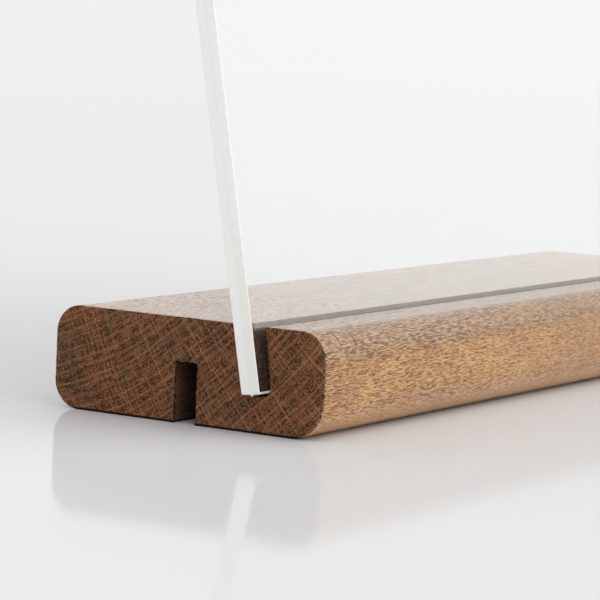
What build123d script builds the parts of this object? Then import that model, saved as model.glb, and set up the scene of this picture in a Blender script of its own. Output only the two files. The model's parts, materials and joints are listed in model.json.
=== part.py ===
from build123d import *
import math
import os

# Table number holder: a hardwood block with a clear sheet standing in a leaning slot.
# +X runs along the block, -Y is its front, +Z is up. Z = 0 is the surface that it stands on.
# The origin is the centre of the block's underside, in the mouth of the groove.

# Block, millimetres.
BLOCK_LENGTH = 148.0
BLOCK_WIDTH = 45.0
BLOCK_HEIGHT = 15.0
EDGE_RADIUS = 4.0
FRONT_FOOT_RADIUS = 5.5

# Slot in the top, which leans back and runs out through both ends. Chamfers join its floor to its walls.
SLOT_LEAN = 7.5
SLOT_WIDTH = 3.56
SLOT_DEPTH = 9.9
SLOT_CHAMFER = 0.77
SLOT_MOUTH_Y = -10.88

# Groove in the underside, upright, which also runs out through both ends.
GROOVE_WIDTH = 3.5
GROOVE_DEPTH = 8.7
GROOVE_Y = 0.15

# Sheet. It stands a little past the block's -X end.
PANEL_WIDTH = 148.0
PANEL_HEIGHT = 210.0
PANEL_THICKNESS = 2.95
PANEL_OVERHANG = 2.8

# Air left at each of the three planes where the sheet bears on the wood.
BEARING_GAP = 0.02

# How far the slot and groove cutters pass the surfaces that they break through.
CUTTER_OVERRUN = 1.0

ANGLE_STEPS = 20


def slot_floor():
    """Place at the front corner of the slot's floor: Y across the slot, Z up along its walls."""
    mouth = Pos(0, SLOT_MOUTH_Y, BLOCK_HEIGHT) * Rot(-SLOT_LEAN, 0, 0)
    return mouth * Pos(0, -SLOT_WIDTH / 2, -SLOT_DEPTH)


def foot_height():
    """Height above the slot's floor of the foot's front corner, which bears on the front chamfer."""
    return SLOT_CHAMFER + (math.sqrt(2) - 1) * BEARING_GAP


def panel_tilt():
    """Degrees that the sheet leans back past the slot's own lean.

    The foot's front corner bears on the front wall and its chamfer, and the back face on the lip
    of the rear wall. The three together fix the angle, found by iteration.
    """
    lip_height = SLOT_DEPTH + SLOT_WIDTH / 2 * math.tan(math.radians(SLOT_LEAN))
    angle = 0.0
    for _ in range(ANGLE_STEPS):
        play = SLOT_WIDTH - BEARING_GAP - (PANEL_THICKNESS + BEARING_GAP) / math.cos(angle)
        angle = math.atan(play / (lip_height - foot_height()))
    return math.degrees(angle)


def slot_cutter():
    """Leaning box, longer than the block, from the slot's chamfered floor to above its mouth."""
    height = SLOT_DEPTH + CUTTER_OVERRUN
    box = Box(BLOCK_LENGTH + 2 * CUTTER_OVERRUN, SLOT_WIDTH, height)
    box = chamfer(box.edges().filter_by(Axis.X).group_by(Axis.Z)[0], SLOT_CHAMFER)
    return slot_floor() * Pos(0, SLOT_WIDTH / 2, height / 2) * box


def groove_cutter():
    """Upright box, longer than the block, from below the underside to the groove's roof."""
    height = GROOVE_DEPTH + CUTTER_OVERRUN
    box = Box(BLOCK_LENGTH + 2 * CUTTER_OVERRUN, GROOVE_WIDTH, height)
    return Pos(0, GROOVE_Y, GROOVE_DEPTH - height / 2) * box


def base_block():
    """Block with its long edges rounded, most of all the front one that it stands on."""
    block = Pos(0, 0, BLOCK_HEIGHT / 2) * Box(BLOCK_LENGTH, BLOCK_WIDTH, BLOCK_HEIGHT)
    front_foot = block.edges().filter_by(Axis.X).group_by(Axis.Z)[0].sort_by(Axis.Y)[0]
    block = fillet(front_foot, FRONT_FOOT_RADIUS)
    back_foot = block.edges().filter_by(Axis.X).group_by(Axis.Z)[0].sort_by(Axis.Y)[-1]
    top_edges = block.edges().filter_by(Axis.X).group_by(Axis.Z)[-1]
    block = fillet([back_foot] + list(top_edges), EDGE_RADIUS)
    return block - slot_cutter() - groove_cutter()


def acrylic_panel():
    """Flat sheet, tilted in the slot until its back face bears on the rear lip."""
    foot = slot_floor() * Pos(0, BEARING_GAP, foot_height()) * Rot(-panel_tilt(), 0, 0)
    left_end = -BLOCK_LENGTH / 2 - PANEL_OVERHANG
    centre = Pos(left_end + PANEL_WIDTH / 2, PANEL_THICKNESS / 2, PANEL_HEIGHT / 2)
    return foot * centre * Box(PANEL_WIDTH, PANEL_THICKNESS, PANEL_HEIGHT)


def main():
    os.makedirs("parts", exist_ok=True)
    export_step(base_block(), "parts/base_block.step")
    export_step(acrylic_panel(), "parts/acrylic_panel.step")
    lean = math.radians(SLOT_LEAN + panel_tilt())
    print("sheet's lean from upright, degrees:", round(math.degrees(lean), 3))
    print("axis that it lifts along:", 0.0, round(math.sin(lean), 8), round(math.cos(lean), 8))


main()
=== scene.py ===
"""Table number holder: the looks of its hardwood block and of the clear sheet that stands in it."""
import json
import math
from typing import NamedTuple

import bmesh
import bpy
from mathutils import Matrix, Vector, noise


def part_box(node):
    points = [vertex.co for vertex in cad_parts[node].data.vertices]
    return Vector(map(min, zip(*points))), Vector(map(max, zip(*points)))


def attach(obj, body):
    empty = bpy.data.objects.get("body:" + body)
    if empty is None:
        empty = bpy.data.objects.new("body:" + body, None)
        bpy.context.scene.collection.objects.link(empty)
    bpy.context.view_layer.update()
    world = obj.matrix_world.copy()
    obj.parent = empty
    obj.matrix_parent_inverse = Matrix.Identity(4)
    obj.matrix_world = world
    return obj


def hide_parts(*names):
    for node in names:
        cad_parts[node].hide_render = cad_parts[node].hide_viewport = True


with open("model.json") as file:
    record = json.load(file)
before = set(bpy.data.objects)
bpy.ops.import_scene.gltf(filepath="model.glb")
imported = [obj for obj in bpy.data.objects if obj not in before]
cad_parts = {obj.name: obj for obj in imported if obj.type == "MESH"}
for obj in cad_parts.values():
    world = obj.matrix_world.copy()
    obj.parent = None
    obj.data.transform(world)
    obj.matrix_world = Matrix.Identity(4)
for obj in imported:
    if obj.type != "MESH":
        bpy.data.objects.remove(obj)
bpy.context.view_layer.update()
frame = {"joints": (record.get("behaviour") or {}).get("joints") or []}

# Lengths are in millimetres except where MM turns them into metres. The frame is the CAD model's:
# +X runs along the block, -Y is its front, and it stands on Z = 0.
MM = 0.001
block_low, block_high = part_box("base_block")
panel_low, panel_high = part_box("acrylic_panel")

# ---------------------------------------------------------------- block

BLOCK_LENGTH = (block_high.x - block_low.x) / MM
BLOCK_WIDTH = (block_high.y - block_low.y) / MM
BLOCK_HEIGHT = (block_high.z - block_low.z) / MM
EDGE_RADIUS = 4.0
FRONT_FOOT_RADIUS = 5.5

SLOT_LEAN = math.radians(7.5)
SLOT_WIDTH = 3.56
SLOT_DEPTH = 9.9
SLOT_CHAMFER = 0.77
SLOT_MOUTH_Y = -10.88
GROOVE_WIDTH = 3.5
GROOVE_DEPTH = 8.7
GROOVE_Y = 0.15

# Radii of the lips where the slot and the groove break out, and of the corners inside them.
LIP_RADIUS = 0.18
INNER_RADIUS = 0.12

# The sawn ends meet the long faces in a small worn arris: its radius where it is whole, and how
# strongly chips, the underside, the bruised front and the torn mouth of the groove widen it. Bruises
# reach a little way back from the front.
ARRIS = 0.10
ARRIS_CHIP = 0.30
ARRIS_UNDER = 0.28
ARRIS_FRONT = 0.75
ARRIS_TORN = 0.7
FRONT_REACH = 2.0

# Noise of that wear: cycles to a millimetre of the chips, the level that they start from, their
# fractal's dimension, lacunarity and octaves, how much finer bruises and fray are, how much of the
# whole radius frays, and a shift that makes the two ends differ.
CHIP_CYCLES = 1.1
CHIP_LEVEL = 0.25
CHIP_FRACTAL = (1.0, 2.2, 3)
BRUISE_FINER = 2.1
FRAY_FINER = 5.0
FRAY_SHARE = 0.5
END_SHIFT = 7.0

# Mesh density: steps round the outline, along the block and round an arris. A narrow flat rim round
# each cap makes the smooth shading of the arris end in the cap's plane.
OUTLINE_STEP = 0.22
STATION_STEP = 2.0
ARRIS_STEPS = 4
CAP_RIM = 0.05
LEAST_ARC_STEPS = 4

# Places of the block's materials in its list.
END_GRAIN, LONG_GRAIN, SAW_CUT = range(3)

# ---------------------------------------------------------------- sheet

PANEL_LENGTH = (panel_high.x - panel_low.x) / MM
PANEL_HEIGHT = 210.0
PANEL_THICKNESS = 2.95
PANEL_LEAN = math.atan2(*frame["joints"][0]["axis"][1:])
PANEL_ARRIS = 0.10
PANEL_CORNER = 0.3
PANEL_STEP = 1.5
PANEL_EDGE_CELLS = 20

# Places of the sheet's materials in its list.
CLEAR_FACE, FROSTED_EDGE = range(2)

# The sawn foot hangs below square. It drops over a short run behind its front face, and rises from
# there to nothing at its back face.
FOOT_SAG = 0.22
FOOT_SAG_RUN = 0.35

# A burr that the saw left on the foot: its place through the thickness, its size and its drop.
BURR_DEPTH = 1.4
BURR_WIDTH = 0.17
BURR_LENGTH = 0.3
BURR_DROP = 0.50

# ---------------------------------------------------------------- figure of the wood

# Centre of the growth rings, above the block and behind it, how far it drifts in Y for each
# millimetre of X, and the distance from it at which the rays have their spacing.
PITH_Y = 45.5
PITH_Z = 68.0
PITH_DRIFT = 0.035
PITH_REACH = 75.0
RING_SPACING = 1.35
RAY_SPACING = 0.85

# Distances from a line's middle, in spacings: where the line fades out, and where the dark band
# beside a ring fades in and out.
RING_LINE = (0.03, 0.18)
RAY_LINE = (0.01, 0.11)
BAND_START = (0.14, 0.22)
BAND_END = (0.24, 0.42)

# How unevenly lines are spaced, from 0 to 1, how strong the weakest ring is, the range of random
# values over which rays come in, and the range of their patches' noise.
RING_UNEVEN = 0.6
RAY_UNEVEN = 1.0
WEAKEST_RING = 0.45
RAYS_SHOWN = (0.2, 1.0)
RAY_PATCH_EDGE = (0.38, 0.56)

# Noise patterns: cycles to a millimetre along X, Y and Z, then detail and roughness.
WANDER = ((0.020, 0.045, 0.045), 2.0, 0.5)
RIPPLE = ((0.25, 0.9, 0.9), 2.0, 0.6)
EDDY = ((0.13, 0.22, 0.22), 1.0, 0.5)
GRIT = ((2.2, 4.9, 4.9), 1.0, 0.7)
SPECK = ((5.4, 5.4, 5.4), 1.0, 0.7)
MOTTLE = ((0.07, 0.17, 0.17), 3.0, 0.6)
FIBRE = ((0.62, 6.8, 6.8), 1.0, 0.5)
STREAK = ((0.12, 1.1, 1.1), 3.0, 0.6)

# The same about the pith. RING_GRAIN and RAY_PATCH go out from it, round it and along X, and
# SHORT_RAY goes round it, out from it and along X.
RING_GRAIN = ((3.2, 0.32, 0.1), 1.0, 0.5)
RAY_PATCH = ((0.25, 1.4, 0.3), 1.0, 0.5)
SHORT_RAY = ((3.4, 0.30, 0.4), 1.0, 0.5)

# How far WANDER, RIPPLE and EDDY bend the grain, from one extreme to the other.
WANDER_REACH = (0.0, 3.0, 3.0)
RIPPLE_REACH = (0.0, 0.12, 0.12)
EDDY_REACH = (0.0, 0.6, 0.6)

# Pores: cells to a millimetre, distance from a pore's middle over which it fades out, in cells, and
# the random values over which a cell stops having one.
PORE_CELLS = (0.6, 2.7, 2.7)
PORE_SIZE = (0.12, 0.46)
PORE_PICKS = (0.56, 0.70)

# ---------------------------------------------------------------- wear, stains, painted light and shade of the wood

# Most pairs here are ranges over which something comes or goes. A name that ends in an axis says
# where along it, and one with NORMAL is read from a face's normal.

# A painted contact shadow, a dark line where the wood meets the table, shows low down, but not on the
# underside.
CONTACT_SHADOW_Z = (0.26, 0.48)
UNDERSIDE_NORMAL_Z = (-0.97, -0.80)

# The rim of a sawn end is where it turns into the long faces. It is frayed at the front and torn
# within a distance from the groove's middle.
END_RIM_NORMAL_X = (0.55, 0.95)
FRAYED_Y = (-21.5, -20.5)
FRAYED_NORMAL_Y = (-0.6, -0.2)
TORN_FROM_GROOVE = (GROOVE_WIDTH / 2 + 0.3, GROOVE_WIDTH / 2 + 0.8)

# The dashes and grit of the long faces grow fainter away from the -X end, and their open grain grows
# smoother. Open grain and soft streaks are ranges of the noise of fibres and of streaks.
FIGURE_FADES_X = (-45.0, 22.0)
FAINTEST_FIGURE = 0.42
OPEN_GRAIN_X = (-60.0, -25.0)
OPEN_GRAIN_ROUGHNESS = (0.18, 0.10)
OPEN_FIBRE = (0.48, 0.60)
SOFT_STREAK = (0.42, 0.66)

# The land in front of the slot and the shoulder below it carry painted shade and grey sheen over their
# wear, and the front foot carries painted light.
LAND_Y = (-13.2, -12.4)
SHOULDER_Z = (10.0, 12.6)
PAINTED_FOOT_LIGHT_Y = (-19.0, -17.5)
PAINTED_FOOT_LIGHT_Z = (0.8, 3.6)

# Knife ticks across the front shoulder near the -X end: their X, half width, and where they end.
TICKS_X = (-69.2, -65.2)
TICK_HALF_WIDTH = (0.11, 0.30)
TICK_BACK_Y = (-20.2, -19.8)
TICK_FRONT_Y = (-22.2, -21.8)
TICK_LOW_Z = (10.0, 11.0)

# Grit over which a ring beads and a tick skips, and how strong each is at the two ends of it.
BEAD_GRIT = (0.38, 0.58)
BEAD_STRENGTH = (0.45, 0.95)
SKIP_GRIT = (0.42, 0.54)
SKIP_STRENGTH = (0.35, 0.95)

# Saw cuts: Y between the slot and the groove, Z where the painted light at the slot's lips begins,
# and the distance from the block's ends over which the cuts stop being browner, painted light where
# they open out. Patches shorten that, and the slot is less brown than the groove.
SLOT_BACK_Y = (-8.0, -6.0)
LIP_Z = (13.7, 14.5)
BROWN_END = (2.0, 6.0)
BROWN_PATCH = 6.0
BROWN_MOTTLE = (0.3, 0.7)
BROWN_IN_SLOT = 0.3

# ---------------------------------------------------------------- colours, linear RGB

class Layer(NamedTuple):
    """A colour laid over those below it, as far as one field of the wood says.

    The share that shows goes straight with the field or, where a span is given, in a smooth step
    from nothing at the span's first value to all at its second. A mask is one more field that the
    share is multiplied by.
    """
    field: str
    colour: tuple
    share: float = 1.0
    span: tuple = None
    mask: str = None
    blend: str = "MIX"


# End grain: brown grit and dark pits, a dark band beside each ring, fine lines along rings and rays,
# then rings, long rays, pores and pale specks. Two tints darken it, the second in patches, and its
# rim is frayed pale at the front and torn dark round the groove.
END_GROUND = (0.068, 0.027, 0.009)
END_LAYERS = (
    Layer("grit", (0.186, 0.077, 0.032), span=(0.40, 0.58)),
    Layer("speck", (0.022, 0.010, 0.004), 0.95, span=(0.48, 0.38)),
    Layer("beside_ring", (0.060, 0.026, 0.009), 0.5),
    Layer("ring_grain", (0.29, 0.112, 0.048), 0.55, span=(0.52, 0.60)),
    Layer("short_ray", (0.30, 0.142, 0.078), 0.34, span=(0.54, 0.63)),
    Layer("short_ray", (0.045, 0.018, 0.007), 0.40, span=(0.46, 0.34)),
    Layer("ring", (0.36, 0.130, 0.062), mask="beads"),
    Layer("long_ray", (0.46, 0.22, 0.115), 0.72),
    Layer("pore", (0.028, 0.012, 0.006), 0.70),
    Layer("speck", (0.40, 0.215, 0.120), 0.6, span=(0.56, 0.68)),
    Layer("everywhere", (0.96, 0.93, 0.93), blend="MULTIPLY"),
    Layer("mottle", (0.729, 0.871, 0.860), span=(0.38, 0.66), blend="MULTIPLY"),
    Layer("grit", (0.50, 0.39, 0.31), span=(0.46, 0.58), mask="front_rim"),
    Layer("groove_rim", (0.014, 0.008, 0.006), 0.9),
)

# Long grain: tan with pinker patches, brown streaks and faint rings, then dark dashes, pale fibres,
# bright grit and pores. The land and the shoulder are darkened and greyed, a painted shade and grey
# sheen over their wear, with bare fibres; the front foot is paler with painted light, and the knife
# ticks are dark.
LONG_GROUND = (0.418, 0.228, 0.087)
LONG_LAYERS = (
    Layer("mottle", (0.330, 0.166, 0.075), span=(0.36, 0.66)),
    Layer("streak", (0.23, 0.112, 0.042), 0.16, span=(0.48, 0.66)),
    Layer("ring", (0.48, 0.270, 0.105), 0.35),
    Layer("fibre", (0.155, 0.054, 0.006), 0.92, span=(0.50, 0.60), mask="crisp"),
    Layer("fibre", (0.46, 0.295, 0.150), 0.50, span=(0.50, 0.34)),
    Layer("grit", (1.35, 1.35, 1.35), span=(0.42, 0.58), mask="crisp", blend="MULTIPLY"),
    Layer("pore", (0.10, 0.045, 0.016), 0.60),
    Layer("worn_and_shaded", (0.64, 0.67, 0.735), blend="MULTIPLY"),
    Layer("fibre", (0.56, 0.41, 0.29), 0.32, span=(0.50, 0.38), mask="crisp_worn_and_shaded"),
    Layer("painted_foot_light", (0.60, 0.33, 0.145), 0.6),
    Layer("ticks", (0.020, 0.009, 0.003), mask="skips"),
)

# Saw cuts, painted shade: dark grit and pores on a dark ground for the shade deep in the cuts. They are
# browner near the ends and pale at the slot's lips, painted light where light reaches in, and warmer
# in the groove and greyer in the slot.
CUT_GROUND = (0.046, 0.030, 0.020)
CUT_LAYERS = (
    Layer("grit", (0.150, 0.090, 0.060), span=(0.36, 0.64)),
    Layer("pore", (0.020, 0.013, 0.009), 0.7),
    Layer("brown_end", (0.20, 0.082, 0.036), 0.8),
    Layer("in_groove", (0.75, 0.65, 0.58), blend="MULTIPLY"),
    Layer("in_slot", (1.40, 1.72, 1.95), blend="MULTIPLY"),
    Layer("lip", (0.55, 0.45, 0.36)),
)

# Painted contact shadow: the dark line where the wood meets the table.
CONTACT_SHADOW = (0.006, 0.004, 0.003)

# The sheet: its clear faces, and its frosted edge, which saw marks vary between two tones. Low down
# two tints warm it, and a score darkens it.
CLEAR_TONE = (0.990, 0.995, 0.993)
EDGE_DULL = (0.97, 0.97, 0.96)
EDGE_BRIGHT = (1.0, 1.0, 1.0)
EDGE_WARM_FRONT = (0.975, 0.955, 0.905)
EDGE_WARM_BACK = (1.0, 1.0, 0.985)
EDGE_SCORE = (0.88, 0.88, 0.87)

WHITE = (1.0, 1.0, 1.0)
FLOOR_TONE = (0.60, 0.60, 0.605)

# ---------------------------------------------------------------- finish

# Roughness of the wood: at least this, and more by each field times its weight. Its height is a sum
# of weighted fields, its relief is what a height of 1 comes to, and the bump is how strongly it shows.
END_ROUGHNESS = 0.5
END_ROUGHER = {"grit": 0.2}
END_HEIGHT = {"grit": 0.6, "pore": -1.0, "ring": 0.2}
END_RELIEF = 0.08
LONG_ROUGHNESS = 0.03
LONG_ROUGHER = {"grit": 0.08, "soft_streak": 0.04, "open_fibre": 1.0}
LONG_HEIGHT = {"grit": 0.5, "pore": -0.8, "fibre": -0.5}
LONG_RELIEF = 0.03
CUT_ROUGHNESS = 0.75
CUT_HEIGHT = {"grit": 1.0, "pore": -1.0}
CUT_RELIEF = 0.10
WOOD_BUMP = 0.7
WOOD_IOR = 1.5
END_SPECULAR = 0.1
LONG_SPECULAR = 0.3
CUT_SPECULAR = 0.2

# Polished faces of the sheet, which are hazy in patches.
ACRYLIC_IOR = 1.49
HAZE = ((0.05, 0.05, 0.05), 3.0, 0.5)
HAZE_EDGE = (0.45, 0.9)
HAZE_ROUGHNESS = 0.012

# Its frosted edge, with saw marks and a score along its middle. It is warmer low down, which fades
# out over a range of Z, and most of all at its front, up to a depth through the sheet.
FROST_ROUGHNESS = 0.6
FROST_TRANSMISSION = 0.15
SAW_MARKS = ((3.0, 3.0, 0.4), 3.0, 0.6)
SAW_MARK_RELIEF = 0.03
SAW_MARK_BUMP = 0.5
SCORE_HALF_WIDTH = (0.03, 0.12)
SCORE_SHARE = 0.6
WARM_Z = (20.0, 34.0)
WARM_DEPTH = (1.1, 1.7)

FLOOR_GLOSS = 0.2
FLOOR_ROUGHNESS = 0.085

# ---------------------------------------------------------------- camera, lights, floor

CAMERA_AT = Vector((-415.93, -222.78, 61.31)) * MM
CAMERA_YAW = math.radians(30.930)
CAMERA_PITCH = math.radians(6.024)
CAMERA_ROLL = math.radians(2.714)
CAMERA_LENS = 176.38
CAMERA_CLIP = 10 * MM

# The backdrop's level, and the light that reaches the object: dim from -X, brighter from +X, and
# brightest from the front and above.
WORLD_LEVEL = 0.87
WORLD_DIM = 0.78
WORLD_FAR = 1.12
WORLD_TURN = (-0.9, 0.6)
FRONT_LIGHT = (0.15, -0.62, 0.72)
FRONT_SPREAD = (0.2, 1.0)
FRONT_GAIN = 1.25

# The floor's disc, and the distances from the object over which it fades out, in metres.
FLOOR_RADIUS = 9.0
FLOOR_FADE = (0.3, 1.8)
FLOOR_SIDES = 96

# Light bounces many times between the faces of the clear sheet.
LIGHT_BOUNCES = 40


# ================================================================ mesh helpers

def arc_corner(before, corner, after, radius, step):
    """Points of the arc that rounds a corner of an outline, tangent to both of its sides."""
    to_before = (before - corner).normalized()
    to_after = (after - corner).normalized()
    half = to_before.angle(to_after) / 2
    centre = corner + (to_before + to_after).normalized() * (radius / math.sin(half))
    start = corner + to_before * (radius / math.tan(half)) - centre
    end = corner + to_after * (radius / math.tan(half)) - centre
    sweep = start.angle_signed(end)
    count = max(LEAST_ARC_STEPS, round(abs(sweep) * radius / step))
    points = []
    for i in range(count + 1):
        points.append(centre + Matrix.Rotation(-sweep * i / count, 2) @ start)
    return points


def rounded_outline(corners, step):
    """Closed outline through (y, z, radius, in a cut) corners.

    Returns its points, and for each whether the face that starts there is a saw cut.
    """
    arcs = []
    for i, (y, z, radius, _) in enumerate(corners):
        before = Vector(corners[i - 1][:2])
        after = Vector(corners[(i + 1) % len(corners)][:2])
        arcs.append(arc_corner(before, Vector((y, z)), after, radius, step))
    outline, in_cut = [], []
    for i, arc in enumerate(arcs):
        run = arcs[(i + 1) % len(arcs)][0] - arc[-1]
        count = max(1, round(run.length / step))
        outline += arc
        outline += [arc[-1] + run * (k / count) for k in range(1, count)]
        in_cut += [corners[i - 1][3] and corners[i][3]] * (len(arc) - 1)
        in_cut += [corners[i][3]] * count
    return outline, in_cut


def outline_normals(outline):
    """Unit normals of a counter-clockwise outline, pointing out of it."""
    normals = []
    for i, point in enumerate(outline):
        along = outline[(i + 1) % len(outline)] - outline[i - 1]
        normals.append(Vector((along.y, -along.x)).normalized())
    return normals


def bridge(mesh, ring, following):
    """Quads between two closed rings of vertices."""
    faces = []
    for i in range(len(ring)):
        j = (i + 1) % len(ring)
        faces.append(mesh.faces.new((ring[i], ring[j], following[j], following[i])))
    return faces


def linked_object(name, mesh, materials):
    """Object in the scene, made from a bmesh and its materials."""
    data = bpy.data.meshes.new(name)
    mesh.to_mesh(data)
    mesh.free()
    for material in materials:
        data.materials.append(material)
    piece = bpy.data.objects.new(name, data)
    bpy.context.scene.collection.objects.link(piece)
    return piece


def finished_piece(name, mesh, materials):
    """Linked object with outward normals, shaded smooth everywhere but on its flat caps."""
    bmesh.ops.recalc_face_normals(mesh, faces=mesh.faces)
    for face in mesh.faces:
        face.smooth = len(face.verts) <= 4
    return linked_object(name, mesh, materials)


# ================================================================ pieces

def block_corners():
    """Corners of the block's cross-section: (y, z, radius, whether a saw cut starts there).

    They run counter-clockwise, and a cut goes on to the next corner that doesn't start one.
    """
    half = BLOCK_WIDTH / 2
    groove_front = GROOVE_Y - GROOVE_WIDTH / 2
    groove_back = GROOVE_Y + GROOVE_WIDTH / 2
    wall = SLOT_WIDTH / 2
    half_mouth = wall / math.cos(SLOT_LEAN)
    turn = Matrix.Rotation(-SLOT_LEAN, 2)
    mouth = Vector((SLOT_MOUTH_Y, BLOCK_HEIGHT))

    def slot_point(across, up):
        return mouth + turn @ Vector((across, up - SLOT_DEPTH))

    return [
        (-half, 0, FRONT_FOOT_RADIUS, False),
        (groove_front, 0, LIP_RADIUS, True),
        (groove_front, GROOVE_DEPTH, INNER_RADIUS, True),
        (groove_back, GROOVE_DEPTH, INNER_RADIUS, True),
        (groove_back, 0, LIP_RADIUS, False),
        (half, 0, EDGE_RADIUS, False),
        (half, BLOCK_HEIGHT, EDGE_RADIUS, False),
        (SLOT_MOUTH_Y + half_mouth, BLOCK_HEIGHT, LIP_RADIUS, True),
        (*slot_point(wall, SLOT_CHAMFER), INNER_RADIUS, True),
        (*slot_point(wall - SLOT_CHAMFER, 0), INNER_RADIUS, True),
        (*slot_point(SLOT_CHAMFER - wall, 0), INNER_RADIUS, True),
        (*slot_point(-wall, SLOT_CHAMFER), INNER_RADIUS, True),
        (SLOT_MOUTH_Y - half_mouth, BLOCK_HEIGHT, LIP_RADIUS, False),
        (-half, BLOCK_HEIGHT, EDGE_RADIUS, False),
    ]


def lip_corners():
    """The four sharp corners where the slot and the groove break out of the block."""
    return [Vector(corner[:2]) for corner in block_corners() if corner[2] == LIP_RADIUS]


def arris_size(point, end):
    """Radius of the worn arris at a (y, z) point of the outline, on the -X end (-1) or the +X end (1).

    It is kept small near a lip, so that the arrises on the two sides of a lip don't cross.
    """
    place = Vector((point.x * CHIP_CYCLES, point.y * CHIP_CYCLES, end * END_SHIFT))
    chips = noise.fractal(place, *CHIP_FRACTAL)
    fray = noise.noise(place * FRAY_FINER)
    bruise = abs(noise.noise(place * BRUISE_FINER))
    underneath = max(0.0, 1.0 - point.y / EDGE_RADIUS)
    front = max(0.0, FRONT_REACH - BLOCK_WIDTH / 2 - point.x) / FRONT_REACH
    size = ARRIS * (1 + FRAY_SHARE * fray) + ARRIS_CHIP * max(0.0, chips - CHIP_LEVEL)
    size += ARRIS_UNDER * underneath + ARRIS_FRONT * front * bruise
    if abs(point.x - GROOVE_Y) < GROOVE_WIDTH / 2 + LIP_RADIUS:
        size += ARRIS_TORN * bruise
    room = min((point - lip).length for lip in lip_corners()) - LIP_RADIUS
    return min(size, (LIP_RADIUS + max(0.0, room)) / 2)


def quarter_turn(k):
    """Sine and cosine at step k of the quarter circle that rounds an arris."""
    angle = math.pi / 2 * k / ARRIS_STEPS
    return math.sin(angle), math.cos(angle)


def end_rings(outline, end):
    """Rings of one end, from its flat cap round its arris: (x, inset) at each point of the outline."""
    end_x = end * BLOCK_LENGTH / 2
    sizes = [arris_size(point, end) for point in outline]
    rings = [[(end_x, size + CAP_RIM) for size in sizes]]
    for k in range(ARRIS_STEPS + 1):
        sine, cosine = quarter_turn(k)
        rings.append([(end_x - end * size * (1 - cosine), size * (1 - sine)) for size in sizes])
    return rings


def block_mesh():
    """The block's outline carried along X, rounded over into a flat cap at each end."""
    outline, in_cut = rounded_outline(block_corners(), OUTLINE_STEP)
    normals = outline_normals(outline)
    near = end_rings(outline, -1)
    far = end_rings(outline, 1)
    count = round(BLOCK_LENGTH / STATION_STEP)
    middle = []
    for k in range(1, count):
        x = BLOCK_LENGTH * k / count - BLOCK_LENGTH / 2
        middle.append([(x, 0.0)] * len(outline))

    mesh = bmesh.new()
    rings = []
    for places in near + middle + far[::-1]:
        verts = []
        for point, normal, (x, inset) in zip(outline, normals, places):
            at = point - normal * inset
            verts.append(mesh.verts.new(Vector((x, at.x, at.y)) * MM))
        rings.append(verts)

    for k, (one, following) in enumerate(zip(rings, rings[1:])):
        on_end = k < len(near) - 1 or k >= len(rings) - len(far)
        for face, cut in zip(bridge(mesh, one, following), in_cut):
            if on_end:
                face.material_index = END_GRAIN
            else:
                face.material_index = SAW_CUT if cut else LONG_GRAIN
    for cap in (rings[0], rings[-1]):
        mesh.faces.new(cap).material_index = END_GRAIN
    return mesh


def panel_place():
    """Matrix from the sheet's own frame, with its front foot corner at the origin, to the CAD frame."""
    foot_z = panel_low.z + math.sin(PANEL_LEAN) * PANEL_THICKNESS * MM
    foot = Matrix.Translation((panel_low.x, panel_low.y, foot_z))
    return foot @ Matrix.Rotation(-PANEL_LEAN, 4, "X")


def panel_section():
    """Half-turn round the sheet's edge: (inset from the edge, depth through the sheet)."""
    arris = []
    for k in range(ARRIS_STEPS + 1):
        sine, cosine = quarter_turn(k)
        arris.append((PANEL_ARRIS * (1 - sine), PANEL_ARRIS * (1 - cosine)))
    flat = PANEL_THICKNESS - 2 * PANEL_ARRIS
    middle = [(0.0, PANEL_ARRIS + flat * k / PANEL_EDGE_CELLS) for k in range(1, PANEL_EDGE_CELLS)]
    back = [(inset, PANEL_THICKNESS - depth) for inset, depth in reversed(arris)]
    return arris + middle + back


def foot_sag(at, depth):
    """How far the foot hangs below square at a point of the outline and a depth through the sheet."""
    low = max(0.0, 1 - at.y / (2 * PANEL_CORNER))
    return low * FOOT_SAG * min(1.0, depth / FOOT_SAG_RUN) * (1 - depth / PANEL_THICKNESS)


def burr_drop(at, depth):
    """How far the burr hangs down there. It is at the foot's -X end."""
    across = (depth - BURR_DEPTH) / BURR_WIDTH
    along = at.x / BURR_LENGTH
    low = max(0.0, 1 - at.y / PANEL_CORNER)
    return low * BURR_DROP * math.exp(-across * across - along * along)


def panel_mesh():
    """The sheet: two flat polished faces, joined all round by a sawn edge with rounded arrises."""
    corners = [
        (0, 0, PANEL_CORNER, False),
        (PANEL_LENGTH, 0, PANEL_CORNER, False),
        (PANEL_LENGTH, PANEL_HEIGHT, PANEL_CORNER, False),
        (0, PANEL_HEIGHT, PANEL_CORNER, False),
    ]
    outline = rounded_outline(corners, PANEL_STEP)[0]
    normals = outline_normals(outline)
    place = panel_place()
    mesh = bmesh.new()
    rings = []
    for inset, depth in panel_section():
        verts = []
        for point, normal in zip(outline, normals):
            at = point - normal * inset
            at.y -= foot_sag(at, depth) + burr_drop(at, depth)
            verts.append(mesh.verts.new(place @ (Vector((at.x, depth, at.y)) * MM)))
        rings.append(verts)
    for one, following in zip(rings, rings[1:]):
        for face in bridge(mesh, one, following):
            face.material_index = FROSTED_EDGE
    for polished in (rings[0], rings[-1]):
        mesh.faces.new(polished).material_index = CLEAR_FACE
    return mesh


# ================================================================ material helpers

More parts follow.
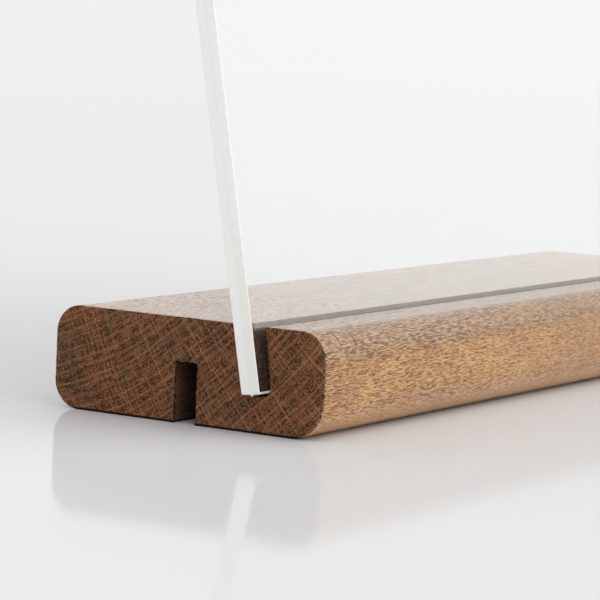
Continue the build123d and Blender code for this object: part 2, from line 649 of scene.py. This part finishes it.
class Nodes:
    """Short ways to add and link shader nodes in one tree.

    A value is a number or a socket, and a place or a colour is three numbers or a socket. A pattern
    is cycles to a millimetre along three axes, detail and roughness.
    """

    def __init__(self, owner):
        owner.use_nodes = True
        self.tree = owner.node_tree
        self.tree.nodes.clear()

    def add(self, kind, inputs=None, **settings):
        node = self.tree.nodes.new(kind)
        for name, value in settings.items():
            setattr(node, name, value)
        for name, value in (inputs or {}).items():
            self.feed(node.inputs[name], value)
        return node

    def feed(self, socket, value):
        if isinstance(value, bpy.types.NodeSocket):
            self.tree.links.new(value, socket)
        elif socket.type == "RGBA":
            socket.default_value = (*value, 1.0)
        else:
            socket.default_value = value

    def math(self, operation, *values):
        node = self.add("ShaderNodeMath", operation=operation)
        for i, value in enumerate(values):
            self.feed(node.inputs[i], value)
        return node.outputs[0]

    def plus(self, one, other):
        return self.math("ADD", one, other)

    def minus(self, one, other):
        return self.math("SUBTRACT", one, other)

    def times(self, first, *others):
        product = first
        for value in others:
            product = self.math("MULTIPLY", product, value)
        return product

    def away(self, value, centre):
        """Distance from a centre, on either side of it."""
        return self.math("ABSOLUTE", self.minus(value, centre))

    def vector(self, operation, *values, scale=None):
        node = self.add("ShaderNodeVectorMath", operation=operation)
        for i, value in enumerate(values):
            self.feed(node.inputs[i], value)
        if scale is not None:
            self.feed(node.inputs["Scale"], scale)
        return node.outputs["Value" if operation in ("LENGTH", "DOT_PRODUCT") else "Vector"]

    def split(self, vector):
        return tuple(self.add("ShaderNodeSeparateXYZ", {"Vector": vector}).outputs)

    def join(self, x, y, z):
        return self.add("ShaderNodeCombineXYZ", {"X": x, "Y": y, "Z": z}).outputs[0]

    def millimetres(self):
        """Place in the CAD frame, in millimetres."""
        at = self.add("ShaderNodeTexCoord").outputs["Object"]
        return self.vector("SCALE", at, scale=1 / MM)

    def noise(self, place, pattern, output="Fac"):
        cycles, detail, roughness = pattern
        scaled = self.vector("MULTIPLY", place, cycles)
        settings = {"Vector": scaled, "Scale": 1.0, "Detail": detail, "Roughness": roughness}
        return self.add("ShaderNodeTexNoise", settings).outputs[output]

    def bent(self, place, read_at, pattern, reach):
        """Place, shifted by the noise at read_at, at most half of reach each way."""
        shift = self.vector("SUBTRACT", self.noise(read_at, pattern, "Color"), (0.5, 0.5, 0.5))
        return self.vector("ADD", place, self.vector("MULTIPLY", shift, reach))

    def spots(self, place, cells):
        """Points scattered one to a cell: how many cells to the nearest, and its random value."""
        settings = {"Vector": self.vector("MULTIPLY", place, cells), "Scale": 1.0, "Randomness": 1.0}
        node = self.add("ShaderNodeTexVoronoi", settings)
        return node.outputs["Distance"], self.split(node.outputs["Color"])[0]

    def lines(self, position, spacing, uneven):
        """Lines, one to a spacing: how many spacings to the nearest, and its random value."""
        node = self.add("ShaderNodeTexVoronoi", voronoi_dimensions="1D")
        self.feed(node.inputs["W"], self.math("DIVIDE", position, spacing))
        self.feed(node.inputs["Scale"], 1.0)
        self.feed(node.inputs["Randomness"], uneven)
        return node.outputs["Distance"], self.split(node.outputs["Color"])[0]

    def step(self, value, low, high, at_low, at_high):
        """Smooth step from at_low where the value is low to at_high where it is high."""
        settings = {"Value": value, "From Min": low, "From Max": high, "To Min": at_low, "To Max": at_high}
        node = self.add("ShaderNodeMapRange", settings, interpolation_type="SMOOTHSTEP")
        return node.outputs["Result"]

    def rise(self, value, low, high, top=1.0):
        """Smooth step from 0 up to top."""
        return self.step(value, low, high, 0.0, top)

    def fall(self, value, low, high):
        """Smooth step from 1 down to 0."""
        return self.step(value, low, high, 1.0, 0.0)

    def weighted(self, start, weights, fields):
        """Start plus each named field times its weight."""
        total = start
        for name, weight in weights.items():
            total = self.plus(total, self.times(fields[name], weight))
        return total

    def layered(self, ground, layers, fields):
        """Ground colour with layers laid over it in turn."""
        colour = ground
        for layer in layers:
            strength = fields[layer.field]
            if layer.span:
                strength = self.rise(strength, *layer.span)
            if layer.mask:
                strength = self.times(strength, fields[layer.mask])
            colour = self.mix(self.times(strength, layer.share), colour, layer.colour, layer.blend)
        return colour

    def mix(self, share, first, second, blend="MIX"):
        """First colour with that share of the second laid over it."""
        node = self.add("ShaderNodeMix", data_type="RGBA", blend_type=blend)
        self.feed(node.inputs["Factor"], share)
        self.feed(node.inputs[6], first)
        self.feed(node.inputs[7], second)
        return node.outputs[2]

    def bump(self, height, relief, strength):
        settings = {"Height": height, "Distance": relief * MM, "Strength": strength}
        return self.add("ShaderNodeBump", settings).outputs["Normal"]

    def principled(self, settings):
        """End the material in a Principled surface with these inputs."""
        self.surface(self.add("ShaderNodeBsdfPrincipled", settings).outputs[0])

    def surface(self, shader):
        self.add("ShaderNodeOutputMaterial", {"Surface": shader})


def new_material(name):
    """A new material, and the helper that adds its nodes."""
    material = bpy.data.materials.new(name)
    return material, Nodes(material)


# ================================================================ wood

def grain_fields(n):
    """Fields of the solid wood, mostly from 0 to 1, so that its figure runs on from face to face."""
    place = n.millimetres()
    normal = n.add("ShaderNodeTexCoord").outputs["Normal"]
    x, y, z = n.split(place)
    normal_x, normal_y, normal_z = n.split(normal)

    # The grain wanders slowly and ripples, and the fibres of the long faces swirl as well.
    wandering = n.bent(place, place, WANDER, WANDER_REACH)
    rippled = n.bent(wandering, place, RIPPLE, RIPPLE_REACH)
    swirled = n.bent(rippled, place, EDDY, EDDY_REACH)

    # Place about the pith: how far out from it, and how far round it.
    _, bent_y, bent_z = n.split(rippled)
    from_y = n.minus(n.minus(bent_y, PITH_Y), n.times(x, PITH_DRIFT))
    from_z = n.minus(bent_z, PITH_Z)
    out = n.vector("LENGTH", n.join(0.0, from_y, from_z))
    around = n.times(n.math("ARCTAN2", from_y, from_z), PITH_REACH)

    # Rings are lines of uneven strength with a band beside each, and rays cross them in patches.
    ring_line, ring_pick = n.lines(out, RING_SPACING, RING_UNEVEN)
    ring_strength = n.step(ring_pick, 0.0, 1.0, WEAKEST_RING, 1.0)
    band = n.times(n.rise(ring_line, *BAND_START), n.fall(ring_line, *BAND_END))
    ray_line, ray_pick = n.lines(around, RAY_SPACING, RAY_UNEVEN)
    ray = n.times(n.fall(ray_line, *RAY_LINE), n.rise(ray_pick, *RAYS_SHOWN))
    ray_here = n.rise(n.noise(n.join(out, around, x), RAY_PATCH), *RAY_PATCH_EDGE)
    pore_spot, pore_pick = n.spots(rippled, PORE_CELLS)
    return {
        "everywhere": 1.0,
        "x": x,
        "y": y,
        "z": z,
        "normal_x": normal_x,
        "normal_y": normal_y,
        "normal_z": normal_z,
        "ring": n.times(n.fall(ring_line, *RING_LINE), ring_strength),
        "beside_ring": n.times(band, ring_strength),
        "ring_grain": n.noise(n.join(out, around, x), RING_GRAIN),
        "long_ray": n.times(ray, ray_here),
        "short_ray": n.noise(n.join(around, out, x), SHORT_RAY),
        "pore": n.times(n.fall(pore_spot, *PORE_SIZE), n.fall(pore_pick, *PORE_PICKS)),
        "grit": n.noise(place, GRIT),
        "speck": n.noise(place, SPECK),
        "mottle": n.noise(rippled, MOTTLE),
        "fibre": n.noise(swirled, FIBRE),
        "streak": n.noise(rippled, STREAK),
    }


def finish_wood(n, fields, colour, rough, height, specular):
    """Wood shader, with a painted contact shadow along the arrises that stand on the table."""
    above = n.rise(fields["normal_z"], *UNDERSIDE_NORMAL_Z)
    # The dark line low down is painted contact shadow.
    line = n.times(n.fall(fields["z"], *CONTACT_SHADOW_Z), above)
    n.principled({
        "Base Color": n.mix(line, colour, CONTACT_SHADOW),
        "Roughness": rough,
        "Normal": height,
        "IOR": WOOD_IOR,
        "Specular IOR Level": specular,
    })


def end_grain_material():
    """Sawn end: dark oiled wood crossed by pale rings and rays, and worn along its rim."""
    material, n = new_material("oiled_end_grain")
    fields = grain_fields(n)
    rim = n.fall(n.math("ABSOLUTE", fields["normal_x"]), *END_RIM_NORMAL_X)
    at_front = n.times(n.fall(fields["y"], *FRAYED_Y), n.fall(fields["normal_y"], *FRAYED_NORMAL_Y))
    at_groove = n.fall(n.away(fields["y"], GROOVE_Y), *TORN_FROM_GROOVE)
    fields["beads"] = n.step(fields["grit"], *BEAD_GRIT, *BEAD_STRENGTH)
    fields["front_rim"] = n.times(rim, at_front)
    fields["groove_rim"] = n.times(rim, at_groove)

    colour = n.layered(END_GROUND, END_LAYERS, fields)
    rough = n.weighted(END_ROUGHNESS, END_ROUGHER, fields)
    height = n.bump(n.weighted(0.0, END_HEIGHT, fields), END_RELIEF, WOOD_BUMP)
    finish_wood(n, fields, colour, rough, height, END_SPECULAR)
    return material


def long_grain_material():
    """Planed and oiled long faces: tan, with short dark dashes along the grain and pinker patches."""
    material, n = new_material("oiled_long_grain")
    fields = grain_fields(n)
    x, y, z = fields["x"], fields["y"], fields["z"]
    fields["crisp"] = n.step(x, *FIGURE_FADES_X, 1.0, FAINTEST_FIGURE)
    # Painted shade and grey sheen on the land and the shoulder, over their wear.
    fields["worn_and_shaded"] = n.times(n.fall(y, *LAND_Y), n.rise(z, *SHOULDER_Z))
    fields["crisp_worn_and_shaded"] = n.times(fields["worn_and_shaded"], fields["crisp"])
    # Painted light on the rounding of the front foot.
    fields["painted_foot_light"] = n.times(n.fall(y, *PAINTED_FOOT_LIGHT_Y), n.fall(z, *PAINTED_FOOT_LIGHT_Z))

    shoulder = n.times(n.fall(y, *TICK_BACK_Y), n.rise(y, *TICK_FRONT_Y), n.rise(z, *TICK_LOW_Z))
    ticks = 0.0
    for at in TICKS_X:
        ticks = n.math("MAXIMUM", ticks, n.fall(n.away(x, at), *TICK_HALF_WIDTH))
    fields["ticks"] = n.times(ticks, shoulder)
    fields["skips"] = n.step(fields["grit"], *SKIP_GRIT, *SKIP_STRENGTH)

    open_grain = n.step(x, *OPEN_GRAIN_X, *OPEN_GRAIN_ROUGHNESS)
    fields["open_fibre"] = n.times(n.rise(fields["fibre"], *OPEN_FIBRE), open_grain)
    fields["soft_streak"] = n.rise(fields["streak"], *SOFT_STREAK)

    colour = n.layered(LONG_GROUND, LONG_LAYERS, fields)
    rough = n.weighted(LONG_ROUGHNESS, LONG_ROUGHER, fields)
    height = n.bump(n.weighted(0.0, LONG_HEIGHT, fields), LONG_RELIEF, WOOD_BUMP)
    finish_wood(n, fields, colour, rough, height, LONG_SPECULAR)
    return material


def saw_cut_material():
    """Walls of the slot and the groove: rough sawn, painted dark for the shade deep in the cuts."""
    material, n = new_material("oiled_saw_cut_painted_shade")
    fields = grain_fields(n)
    in_slot = n.fall(fields["y"], *SLOT_BACK_Y)
    # Browner near the ends: painted light where the cuts open out.
    from_end = n.minus(BLOCK_LENGTH / 2, n.math("ABSOLUTE", fields["x"]))
    patchy = n.plus(from_end, n.rise(fields["mottle"], *BROWN_MOTTLE, top=BROWN_PATCH))
    fields["in_slot"] = in_slot
    fields["in_groove"] = n.minus(1.0, in_slot)
    fields["brown_end"] = n.times(n.fall(patchy, *BROWN_END), n.step(in_slot, 0.0, 1.0, 1.0, BROWN_IN_SLOT))
    # Pale at the slot's lips: painted light near the mouth of the slot.
    fields["lip"] = n.rise(fields["z"], *LIP_Z)

    colour = n.layered(CUT_GROUND, CUT_LAYERS, fields)
    height = n.bump(n.weighted(0.0, CUT_HEIGHT, fields), CUT_RELIEF, WOOD_BUMP)
    finish_wood(n, fields, colour, CUT_ROUGHNESS, height, CUT_SPECULAR)
    return material


# ================================================================ acrylic

def clear_material():
    """Polished face of cast acrylic, with the faintest haze in patches."""
    material, n = new_material("clear_acrylic_face")
    haze = n.noise(n.millimetres(), HAZE)
    n.principled({
        "Base Color": CLEAR_TONE,
        "Roughness": n.rise(haze, *HAZE_EDGE, top=HAZE_ROUGHNESS),
        "IOR": ACRYLIC_IOR,
        "Transmission Weight": 1.0,
    })
    return material


def frosted_material():
    """Sawn edge of the acrylic, faintly scored along its middle, and warmer low down at its front."""
    material, n = new_material("frosted_acrylic_edge")
    place = n.millimetres()
    across = Vector((0.0, math.cos(PANEL_LEAN), -math.sin(PANEL_LEAN)))
    front = panel_place().translation.dot(across) / MM
    depth = n.minus(n.vector("DOT_PRODUCT", place, across), front)
    marks = n.noise(place, SAW_MARKS)

    colour = n.mix(marks, EDGE_DULL, EDGE_BRIGHT)
    warm = n.mix(n.rise(depth, *WARM_DEPTH), EDGE_WARM_FRONT, EDGE_WARM_BACK)
    colour = n.mix(n.fall(n.split(place)[2], *WARM_Z), colour, warm, "MULTIPLY")
    score = n.fall(n.away(depth, PANEL_THICKNESS / 2), *SCORE_HALF_WIDTH)
    colour = n.mix(n.times(score, SCORE_SHARE), colour, EDGE_SCORE, "MULTIPLY")
    n.principled({
        "Base Color": colour,
        "Roughness": FROST_ROUGHNESS,
        "IOR": ACRYLIC_IOR,
        "Transmission Weight": FROST_TRANSMISSION,
        "Normal": n.bump(marks, SAW_MARK_RELIEF, SAW_MARK_BUMP),
    })
    return material


# ================================================================ stage

def floor_material():
    """Pale glossy table top that fades into the backdrop far out."""
    material, n = new_material("pale_table")
    diffuse = n.add("ShaderNodeBsdfDiffuse", {"Color": FLOOR_TONE}).outputs[0]
    gloss = n.add("ShaderNodeBsdfGlossy", {"Color": WHITE, "Roughness": FLOOR_ROUGHNESS}).outputs[0]
    top = n.add("ShaderNodeMixShader", {0: FLOOR_GLOSS, 1: diffuse, 2: gloss}).outputs[0]
    clear = n.add("ShaderNodeBsdfTransparent").outputs[0]
    gone = n.rise(n.vector("LENGTH", n.add("ShaderNodeTexCoord").outputs["Object"]), *FLOOR_FADE)
    n.surface(n.add("ShaderNodeMixShader", {0: gone, 1: top, 2: clear}).outputs[0])
    return material


def make_floor():
    """Round table top that the object stands on."""
    mesh = bmesh.new()
    bmesh.ops.create_circle(mesh, cap_ends=True, radius=FLOOR_RADIUS, segments=FLOOR_SIDES)
    linked_object("table_top", mesh, [floor_material()])


def make_world():
    """White backdrop, and soft light: strongest from the front and above, weak from the -X side."""
    world = bpy.data.worlds.new("white_studio")
    bpy.context.scene.world = world
    n = Nodes(world)
    toward = n.add("ShaderNodeTexCoord").outputs["Generated"]
    level = n.step(n.split(toward)[0], *WORLD_TURN, WORLD_DIM, WORLD_FAR)
    to_front = n.vector("DOT_PRODUCT", toward, Vector(FRONT_LIGHT).normalized())
    light = n.times(n.plus(level, n.rise(to_front, *FRONT_SPREAD, top=FRONT_GAIN)), WORLD_LEVEL)
    path = n.add("ShaderNodeLightPath").outputs
    seen = n.math("MAXIMUM", path["Is Camera Ray"], path["Is Transmission Ray"])
    strength = n.step(seen, 0.0, 1.0, light, WORLD_LEVEL)
    background = n.add("ShaderNodeBackground", {"Color": WHITE, "Strength": strength})
    n.add("ShaderNodeOutputWorld", {"Surface": background.outputs[0]})


def make_camera():
    """Camera from its place, yaw from +X, pitch down and roll."""
    yaw, pitch = CAMERA_YAW, CAMERA_PITCH
    ahead = Vector((math.cos(yaw) * math.cos(pitch), math.sin(yaw) * math.cos(pitch), -math.sin(pitch)))
    level = ahead.cross(Vector((0, 0, 1))).normalized()
    up = level.cross(ahead)
    cos, sin = math.cos(CAMERA_ROLL), math.sin(CAMERA_ROLL)
    axes = (level * cos + up * sin, up * cos - level * sin, -ahead)
    turn = Matrix(axes).transposed().to_4x4()
    data = bpy.data.cameras.new("camera")
    data.lens = CAMERA_LENS
    data.clip_start = CAMERA_CLIP
    camera = bpy.data.objects.new("camera", data)
    camera.matrix_world = Matrix.Translation(CAMERA_AT) @ turn
    bpy.context.scene.collection.objects.link(camera)
    bpy.context.scene.camera = camera


def set_light_paths():
    """Let light bounce often enough to come out of the clear sheet again."""
    cycles = bpy.context.scene.cycles
    cycles.max_bounces = LIGHT_BOUNCES
    cycles.glossy_bounces = LIGHT_BOUNCES
    cycles.transmission_bounces = LIGHT_BOUNCES


# ================================================================ scene

make_camera()
make_world()
make_floor()
set_light_paths()
bpy.context.scene.view_settings.view_transform = "Standard"

wood = [end_grain_material(), long_grain_material(), saw_cut_material()]
block = finished_piece("hardwood_block", block_mesh(), wood)
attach(block, "base")
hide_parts("base_block")

panel = finished_piece("acrylic_sheet", panel_mesh(), [clear_material(), frosted_material()])
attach(panel, "panel")
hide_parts("acrylic_panel")
